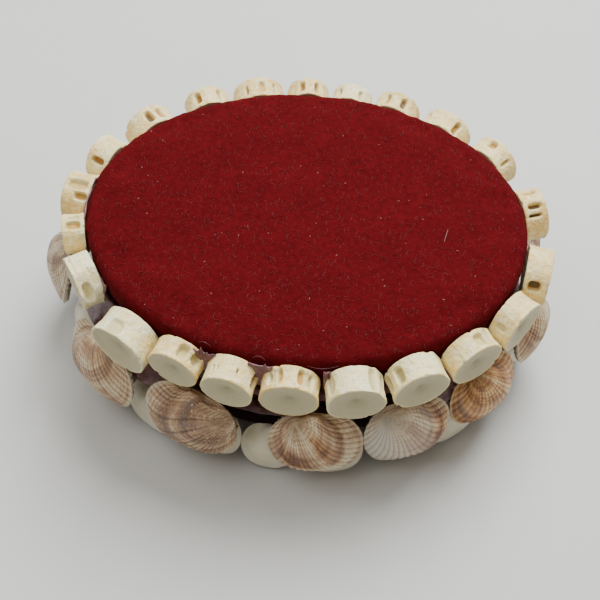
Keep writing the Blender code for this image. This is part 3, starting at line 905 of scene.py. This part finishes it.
# Turn, width, height, roll, stand-off; then ribs, brown, orange, bluish, cream rays (place, half width)
# across from -1 to 1, and dark bands (age, half width, strength)
COCKLES = (
    (-141.5, 21.5, 16.8, -6.0, 1.4, 36, 0.50, 0.45, 0.15, [(-0.5, 0.06)],
     [(0.55, 0.08, 0.2), (0.8, 0.04, -0.3)]),
    (-111.0, 20.5, 18.0, 8.0, 0.0, 38, 0.62, 0.35, 0.10, [(0.62, 0.07)],
     [(0.45, 0.1, 0.25), (0.72, 0.07, 0.2)]),
    (-82.7, 19.0, 17.5, -3.0, 0.0, 36, 0.49, 0.4, 0.12, [(0.02, 0.07)],
     [(0.5, 0.07, 0.3), (0.66, 0.05, 0.35), (0.86, 0.05, -0.2)]),
    (-59.0, 18.4, 17.3, 5.0, -0.4, 33, 0.41, 0.4, 0.4, [(-0.55, 0.3), (0.3, 0.05), (0.62, 0.05)],
     [(0.55, 0.05, 0.3), (0.78, 0.05, 0.3)]),
    (-38.0, 17.6, 16.5, -8.0, -1.0, 28, 0.56, 1.1, 0.0, [(0.2, 0.04)], [(0.4, 0.12, 0.2)]),
    (-9.0, 17.5, 15.5, 4.0, -1.2, 33, 0.45, 0.5, 0.1, [(0.0, 0.1)], [(0.6, 0.06, 0.3)]),
    (22.0, 19.5, 16.8, -5.0, -0.6, 34, 0.52, 0.3, 0.2, [(-0.4, 0.08)], [(0.5, 0.06, 0.3), (0.8, 0.04, 0.2)]),
    (50.5, 19.8, 17.6, 3.0, 0.0, 36, 0.40, 0.7, 0.1, [(0.35, 0.1)], [(0.66, 0.06, 0.3)]),
    (77.5, 19.8, 17.0, 6.0, 0.2, 33, 0.60, 0.4, 0.1, [(0.0, 0.05)], [(0.45, 0.08, 0.2), (0.7, 0.05, 0.3)]),
    (103.0, 20.4, 17.8, -4.0, 0.0, 36, 0.46, 0.3, 0.35, [(-0.3, 0.2)],
     [(0.58, 0.06, 0.3), (0.84, 0.05, 0.2)]),
    (129.0, 20.4, 17.4, 5.0, 0.4, 34, 0.56, 0.55, 0.1, [(0.45, 0.06)], [(0.5, 0.1, 0.25)]),
    (156.0, 19.6, 17.0, -5.0, 0.8, 33, 0.48, 0.4, 0.2, [(-0.1, 0.07)],
     [(0.62, 0.06, 0.3), (0.8, 0.03, -0.3)]),
    (184.0, 18.5, 16.2, 4.0, 1.8, 38, 0.50, 0.2, 0.3, [(0.3, 0.05)], [(0.4, 0.08, 0.2), (0.66, 0.05, 0.2)]),
)
# Blotches of orange-brown on some valves: place across and age, half widths in each, strength
BLOTCHES = {
    3: [(-0.3, 0.62, 0.16, 0.14, 0.35), (0.12, 0.42, 0.12, 0.2, 0.3)],
    4: [(0.3, 0.8, 0.2, 0.17, 0.5)],
    5: [(0.15, 0.85, 0.6, 0.16, 0.2)],
    7: [(-0.2, 0.6, 0.2, 0.2, 0.3)],
    10: [(0.2, 0.7, 0.2, 0.2, 0.35)],
}
print("cockles:", len(COCKLES))


# %% Rib, line and colour one cockle
def fan_about(focus, width, height, samples=1440):
    """A function from a flat place on a valve to its share of the margin and its age, seen from a focus."""
    edge = []
    for number in range(samples):
        point = margin_point(-math.pi + 2.0 * math.pi * number / samples, width, height)
        edge.append((point.x - focus[0], focus[1] - point.z))
    edge = np.array(edge)
    seam = math.atan2(focus[0], -focus[1] - height / 2)  # straight away from the middle of the valve
    bearings = (np.arctan2(edge[:, 0], edge[:, 1]) - seam) % (2.0 * math.pi)
    order = np.argsort(bearings)
    edge, bearings = edge[order], bearings[order]
    lengths = np.concatenate([[0.0], np.cumsum(np.linalg.norm(np.diff(edge, axis=0), axis=1))])
    shares = 2.0 * lengths / lengths[-1] - 1.0
    reaches = np.hypot(edge[:, 0], edge[:, 1])

    def seen(flat):
        side, down = flat.x - focus[0], focus[1] - flat.z
        bearing = (math.atan2(side, down) - seam) % (2.0 * math.pi)
        reach = float(np.interp(bearing, bearings, reaches))
        return float(np.interp(bearing, bearings, shares)), min(1.0, math.hypot(side, down) / reach)

    return seen


def carve_cockle(bm, share_layer, age_layer, number, row):
    """Push up the ribs and growth lines of a valve, and lay its colours into layers."""
    _, width, height, _, _, ribs, brown, orange, bluish, rays, bands = row
    across, down = FANS.get(number, (0.0, -0.02))
    column = even_columns(width, height)
    seen = fan_about((across * width, down * height), width, height)
    layers = {name: bm.verts.layers.float.new(name) for name in ("rib", "brown", "orange", "bluish")}
    seed = Vector((number * 7.3, number * 3.9, number * 1.1))
    for vertex in bm.verts:
        share, age = seen(margin_point(column(vertex[share_layer]), width, height) * vertex[age_layer])
        wander = 0.06 * noise.noise(Vector((share * 2.0, age * 1.5, 0.0)) + seed)
        wave = 0.5 + 0.5 * math.cos(math.pi * ribs * share + wander * 9.0)
        crest = 1.0 - (1.0 - wave) ** 1.8
        fade = smooth(1.0 - abs(share), 0.02, 0.3) * smooth(age, 0.1, 0.36)
        fade *= 1.0 - 0.7 * smooth(age, 0.92, 1.0)
        shaken = age * NET_LINES + 0.7 * noise.noise(Vector((share * 5, age * 2, 5.0)) + seed)
        net = math.cos(2 * math.pi * shaken)
        netted = smooth(noise.noise(Vector((share * 2.4, age * 2.8, 41.0)) + seed), -0.2, 0.25)
        beads = 0.8 + 0.25 * net * netted
        line = noise.noise(Vector((share * 1.2, age * 38.0, 2.0)) + seed)
        stop = sum(hill(age, place, 0.012) for place, _, _ in bands)
        calm = smooth(vertex[age_layer], 0.12, 0.4) * smooth(1.0 - abs(vertex[share_layer]), 0.0, 0.14)
        rise = RIB_HEIGHT * crest * fade * beads * age**0.7
        rise += FINE_LINES * line * age - STOP_DEPTH * stop * age
        vertex.co += vertex.normal * (rise * calm)
        vertex.co += vertex.co.normalized() * (SCALLOP * (crest - 0.5) * fade * calm * smooth(age, 0.8, 1.0))
        patch = noise.fractal(Vector((share * 5.0, age * 7.0, 9.0)) + seed, 0.9, 2.0, 3)
        speck = noise.noise(Vector((share * 46.0, age * 40.0, 3.0)) + seed)
        ring = noise.noise(Vector((share * 0.7, age * 13.0, 21.0)) + seed)
        streak = noise.noise(Vector((share * 17.0, age * 0.8, 31.0)) + seed)
        # Painted shade and light that follow the relief: browner in the grooves between the ribs, paler on
        # the raised net lines.
        relief_shade_and_light = (0.1 + 0.16 * netted) * (0.5 - crest) * fade - 0.32 * netted * smooth(net, 0.3, 0.95)
        amount = brown + 0.3 * patch + 0.16 * speck + relief_shade_and_light + 0.3 * ring + 0.2 * streak
        amount += sum(strength * hill(age + 0.02 * patch, place, wide) for place, wide, strength in bands)
        amount -= sum(0.6 * hill(share + 0.05 * patch, place, wide) for place, wide in rays) * (0.6 + patch)
        amount -= 0.75 * smooth(age, 0.93, 0.99) + 0.25 * (1 - smooth(age, 0.0, 0.25))
        blotch = 0.0
        for place, when, wide, long, strength in BLOTCHES.get(number, ()):
            near = hill(share + 0.08 * patch, place, wide) * hill(age + 0.05 * patch, when, long)
            blotch += strength * near
        amount += blotch
        vertex[layers["rib"]] = crest * fade
        vertex[layers["brown"]] = min(1.0, max(0.0, amount))
        vertex[layers["orange"]] = min(1.0, max(0.0, orange + 0.3 * patch + 1.4 * blotch))
        white = max([0.0] + [hill(share, place, wide) for place, wide in rays if wide > 0.15])
        vertex[layers["bluish"]] = min(1.0, max(0.0, bluish + 0.6 * white + 0.3 * patch - 1.5 * blotch))


# %% [markdown]
# Cockle shell is aragonite laid in crossed layers: matte and slightly chalky outside, with a soft gloss on
# the rib crests. Cream and brown mix by the "brown" layer. The brown itself runs from purplish to orange by
# the "orange" layer, the grooves are darkened grey by the "rib" layer as painted shade, and fine speckles a
# third of a millimetre wide break up the bands.

# %% Cockle shell
cockle = start_material(
    "ribbed cockle shell",
    {"Roughness": 0.52, "IOR": 1.6, "Specular IOR Level": 0.4, "Subsurface Weight": 0.06,
     "Subsurface Radius": (1.0, 0.6, 0.4), "Subsurface Scale": 0.5 * MM},
)
place = add_node(cockle, "TexCoord").outputs["Object"]
rib, brown, orange, bluish = [
    add_node(cockle, "Attribute", attribute_name=name).outputs["Fac"]
    for name in ("rib", "brown", "orange", "bluish")
]
speckle = add_node(
    cockle, "TexNoise", {"Vector": place, "Scale": 1 / (0.34 * MM), "Detail": 4.0, "Roughness": 0.65}
)
jitter = add_node(cockle, "Math", {0: speckle, 1: 0.55, 2: -0.275}, operation="MULTIPLY_ADD")
mark = add_node(cockle, "Math", {0: brown, 1: jitter}, operation="ADD", use_clamp=True)
purple_brown = add_node(
    cockle, "ValToRGB", {0: mark},
    [(0.0, "#e9dfc8"), (0.28, "#d6c6a9"), (0.5, "#b3997c"), (0.75, "#8c6c53"), (1.0, "#60463a")],
)
orange_brown = add_node(
    cockle, "ValToRGB", {0: mark},
    [(0.0, "#e6d3a8"), (0.25, "#dcb67c"), (0.5, "#c9935a"), (0.75, "#a36d38"), (1.0, "#6f4526")],
)
hue = add_node(cockle, "Mix", {0: orange, 6: purple_brown, 7: orange_brown}, data_type="RGBA")
chalk_amount = add_node(cockle, "Math", {0: bluish, 1: 0.75}, operation="MULTIPLY", use_clamp=True)
chalk = add_node(cockle, "Mix", {0: chalk_amount, 6: hue, 7: "#c4c0ba"}, data_type="RGBA")
# Painted shade: grey darkening in the grooves between the ribs.
groove_shade = add_node(cockle, "ValToRGB", {0: rib}, [(0.0, "#8d8078"), (0.35, "#d8d2ca"), (0.6, "#ffffff")])
groove_shaded = add_node(cockle, "Mix", {0: 0.42, 6: chalk, 7: groove_shade}, data_type="RGBA", blend_type="MULTIPLY")
bump = add_node(cockle, "Bump", {"Height": speckle, "Distance": 0.07 * MM, "Strength": 0.5})
wire(cockle, color=groove_shaded, normal=bump)

# %% Build the row of cockles
worst = 0.0
for number, row in enumerate(COCKLES, start=1):
    turn, width, height, roll, out = row[:5]
    bm, share_layer, age_layer = bend_valve(width * MM, height * MM, COCKLE_GROWTH, COCKLE_GRID)
    carve_cockle(bm, share_layer, age_layer, number, row)
    hang_valve(bm, turn, COCKLE_BEAK_OUT + out * MM, COCKLE_BEAK_Z, COCKLE_LEAN, roll)
    node = f"cockle_{number:02d}"
    piece = hand_over(f"ribbed_valve_{number:02d}", bm, cockle, [node])
    grow_wall(piece, COCKLE_WALL + RIB_HEIGHT / 2)
    worst = max(worst, solid_gap(piece, node))
print("cockles against their solids, worst (mm):", round(worst, 2))

# %% [markdown]
# ## Clam valves at the foot
# The foot row is of small smooth clams, bleached creamy white, with a faint yellow-green band part way
# from the beak to the margin. The shape is the same growing margin with more curl, and its relief is only
# fine growth lines. The surface is glossy, because such a shell is polished by its own skin.

# %% Clam table
CLAM_BEAK_Z = 11.4 * MM
CLAM_BEAK_OUT = 0.5 * MM
CLAM_LEAN = 27.0
CLAM_WALL = 1.0 * MM
CLAM_GROWTH = 1.5
CLAM_GRID = (80, 40)
CLAM_LINES = 0.035 * MM
CLAM_LUMPS = 0.12 * MM
# Turn, width, height, roll, stand-off
CLAMS = (
    (-163.0, 13.4, 11.0, 5.0, 2.2), (-144.0, 13.2, 11.2, -4.0, 1.4), (-125.0, 13.8, 11.4, 6.0, 1.0),
    (-108.5, 11.6, 10.8, -5.0, 0.2), (-93.5, 11.6, 11.2, 3.0, 0.4), (-78.5, 12.6, 11.4, -6.0, 0.4),
    (-61.5, 11.8, 10.8, 4.0, 0.0), (-45.0, 12.8, 11.0, -3.0, 0.0), (-26.0, 12.6, 10.8, 5.0, -0.4),
    (-7.0, 12.4, 11.0, -4.0, -0.6), (14.0, 12.6, 10.8, 3.0, -0.4), (36.5, 14.0, 11.2, -5.0, 0.0),
    (58.5, 14.2, 11.0, 4.0, 0.0), (79.5, 14.4, 11.2, -3.0, 0.2), (100.5, 14.4, 11.0, 5.0, 0.2),
    (122.0, 14.2, 11.2, -4.0, 0.4), (144.5, 13.6, 10.8, 3.0, 0.6), (169.0, 13.2, 11.0, -5.0, 1.4),
)

# %% Clam shell
clam = start_material(
    "smooth clam shell",
    {"Roughness": 0.3, "IOR": 1.6, "Specular IOR Level": 0.5, "Subsurface Weight": 0.2,
     "Subsurface Radius": (1.0, 0.8, 0.5), "Subsurface Scale": 1.0 * MM},
)
place = add_node(clam, "TexCoord").outputs["Object"]
grown = add_node(clam, "Attribute", attribute_name="age").outputs["Fac"]
cloud = add_node(clam, "TexNoise", {"Vector": place, "Scale": 1 / (5 * MM), "Detail": 3.0})
lines = add_node(clam, "Math", {0: grown, 1: 190.0}, operation="MULTIPLY")
swing = add_node(clam, "Math", {0: lines}, operation="SINE")
banded = add_node(
    clam, "ValToRGB", {0: grown}, [(0.0, "#e9e2cf"), (0.6, "#d8d0ae"), (0.8, "#ddd6b8"), (0.97, "#efe8d8")]
)
mottle = add_node(clam, "ValToRGB", {0: cloud}, [(0.35, "#d5cfae"), (0.65, "#f2ecdc")])
cream = add_node(clam, "Mix", {0: 0.5, 6: banded, 7: mottle}, data_type="RGBA")
bump = add_node(clam, "Bump", {"Height": swing, "Distance": 0.02 * MM, "Strength": 0.3})
wire(clam, color=cream, normal=bump)

# %% Build the row of clams
worst = 0.0
for number, (turn, width, height, roll, out) in enumerate(CLAMS, start=1):
    bm, share_layer, age_layer = bend_valve(width * MM, height * MM, CLAM_GROWTH, CLAM_GRID)
    seed = Vector((number * 2.7, 0.0, number * 5.1))
    for vertex in bm.verts:
        share, age = vertex[share_layer], vertex[age_layer]
        line = noise.noise(Vector((share * 0.8, age * 22.0, 0.0)) + seed)
        lump = noise.noise(Vector((share * 2.0, age * 2.0, 4.0)) + seed)
        relief = CLAM_LINES * line * smooth(age, 0.06, 0.3) + CLAM_LUMPS * lump * smooth(age, 0.1, 0.5)
        vertex.co += vertex.normal * relief
    hang_valve(bm, turn, CLAM_BEAK_OUT + out * MM, CLAM_BEAK_Z, CLAM_LEAN, roll)
    node = f"foot_shell_{number:02d}"
    piece = hand_over(f"smooth_valve_{number:02d}", bm, clam, [node])
    grow_wall(piece, CLAM_WALL)
    worst = max(worst, solid_gap(piece, node))
print("clams against their solids, worst (mm):", round(worst, 2))

# %% [markdown]
# ## Glue
# The pieces are set in hot glue, which is milky and drawn into webs and threads as the gun is pulled away.
# Its colour is a darkened pinkish mauve: painted shade of the gaps where the glue lies, and painted red
# light thrown on it by the velvet. The two beads round the wall are the imported rings with uneven lumps.
# The webs hang between neighbouring discs, just outside the velvet, and a few smears lie behind the shells.
# Each is a small grid bent round the oval and given a thin wall.

# %% Hot glue
glue = start_material(
    "hot glue with painted shade",
    {"Roughness": 0.35, "IOR": 1.49, "Transmission Weight": 0.35, "Subsurface Weight": 0.2,
     "Subsurface Radius": (1.0, 0.5, 0.5), "Subsurface Scale": 0.8 * MM},
)
place = add_node(glue, "TexCoord").outputs["Object"]
cloud = add_node(glue, "TexNoise", {"Vector": place, "Scale": 1 / (1.2 * MM), "Detail": 4.0})
# Painted: the milky glue is darkened to mauve for the shaded gaps and tinted pink for the velvet's red light.
glue_mauve_and_shade = add_node(glue, "ValToRGB", {0: cloud}, [(0.3, "#6b444a"), (0.6, "#946a6f"), (0.8, "#b99a9c")])
bump = add_node(glue, "Bump", {"Height": cloud, "Distance": 0.2 * MM, "Strength": 0.6})
wire(glue, color=glue_mauve_and_shade, normal=bump)

# %% Beads
BEAD_LUMPS = 0.25 * MM
for node in ("glue_bead_upper", "glue_bead_lower"):
    bm = welded_copy(node)
    bmesh.ops.subdivide_edges(bm, edges=bm.edges, cuts=3, use_grid_fill=True)
    bm.normal_update()
    for vertex in bm.verts:
        vertex.co += vertex.normal * (BEAD_LUMPS * noise.fractal(vertex.co / (4 * MM), 0.8, 2.0, 3))
    hand_over(node.replace("glue_bead", "lumpy_glue"), bm, glue, [node])

# %% Webs and threads
# Start and end turn (degrees), lowest and highest z at the ends, dip of the top edge in the middle, out
# from the rim at the top and how much further at the foot (mm), and the points drawn up from the edge
# (place along, height in mm). The last three are smears behind the shells, from the wall to the cockles
WEBS = (
    (-112.5, -106.5, 29.0, 34.6, 0.6, 0.9, 0.9, [(0.35, 1.3), (0.62, 0.6)]),
    (-98.5, -92.5, 29.0, 34.9, 0.5, 0.8, 0.9, [(0.7, 0.8)]),
    (-80.5, -79.0, 29.5, 34.2, 0.4, 0.8, 0.9, []),
    # The fourth web is a low film close to the velvet, between the last disc and the first, that partly
    # stands in for the shade there: painted shade.
    (-154.0, -145.0, 28.5, 33.4, 0.2, 0.5, 0.9, []),
    (171.0, 189.0, 32.0, 35.3, 0.1, 0.3, 0.9, []),
    (-136.0, -116.0, 17.5, 24.5, 0.0, -0.6, 5.6, []),
    (-163.0, -143.0, 17.0, 24.5, 0.0, -0.6, 4.8, []),
    (-54.0, -44.0, 17.5, 24.0, 0.0, -0.6, 4.6, []),
)
WEB_GRID = (64, 14)
FILM = 0.3 * MM
RIPPLES = 0.35 * MM
for number, (start, end, low, high, dip, out, foot, drawn) in enumerate(WEBS, start=1):
    bm = bmesh.new()
    bmesh.ops.create_grid(bm, x_segments=WEB_GRID[0], y_segments=WEB_GRID[1], size=1.0)
    for vertex in bm.verts:
        along, up = (vertex.co.x + 1) / 2, (vertex.co.y + 1) / 2
        spot, outward = oval_point(math.radians(start + (end - start) * along), out * MM)
        top_z = high - dip * math.sin(math.pi * along)
        top_z += sum(height * hill(along, place, 0.045) for place, height in drawn)
        ripple = noise.noise(Vector((along * 4, up * 3, number * 9.0))) * RIPPLES
        spot.z = (low + (top_z - low) * up) * MM
        vertex.co = spot + outward * (ripple + foot * MM * (1 - up))
    bmesh.ops.recalc_face_normals(bm, faces=bm.faces)
    piece = hand_over(f"glue_web_{number:02d}", bm, glue)
    wall = piece.modifiers.new("film", "SOLIDIFY")
    wall.thickness = FILM
    wall.offset = 0.0


def rim_thread(start, end, z, sag, out, steps=10):
    """A drawn thread of glue from one turn to another, along the rim."""
    line = []
    for number in range(steps + 1):
        share = number / steps
        spot, _ = oval_point(math.radians(start + (end - start) * share), out * MM)
        line.append(spot + Vector((0.0, 0.0, (z - sag * math.sin(math.pi * share)) * MM)))
    return line


THREAD_WIDE = 0.07 * MM
THREADS = (
    rim_thread(-84.5, -77.0, 35.3, 0.9, 0.3),
    rim_thread(-111.5, -108.0, 35.6, -0.9, 0.0),
    rim_thread(-97.5, -94.5, 35.6, -1.1, 0.1),
    rim_thread(-146.0, -150.5, 34.9, 0.3, 0.6),
)
strands_piece("glue_threads", THREADS, THREAD_WIDE, glue)
print("webs:", len(WEBS), "threads:", len(THREADS))
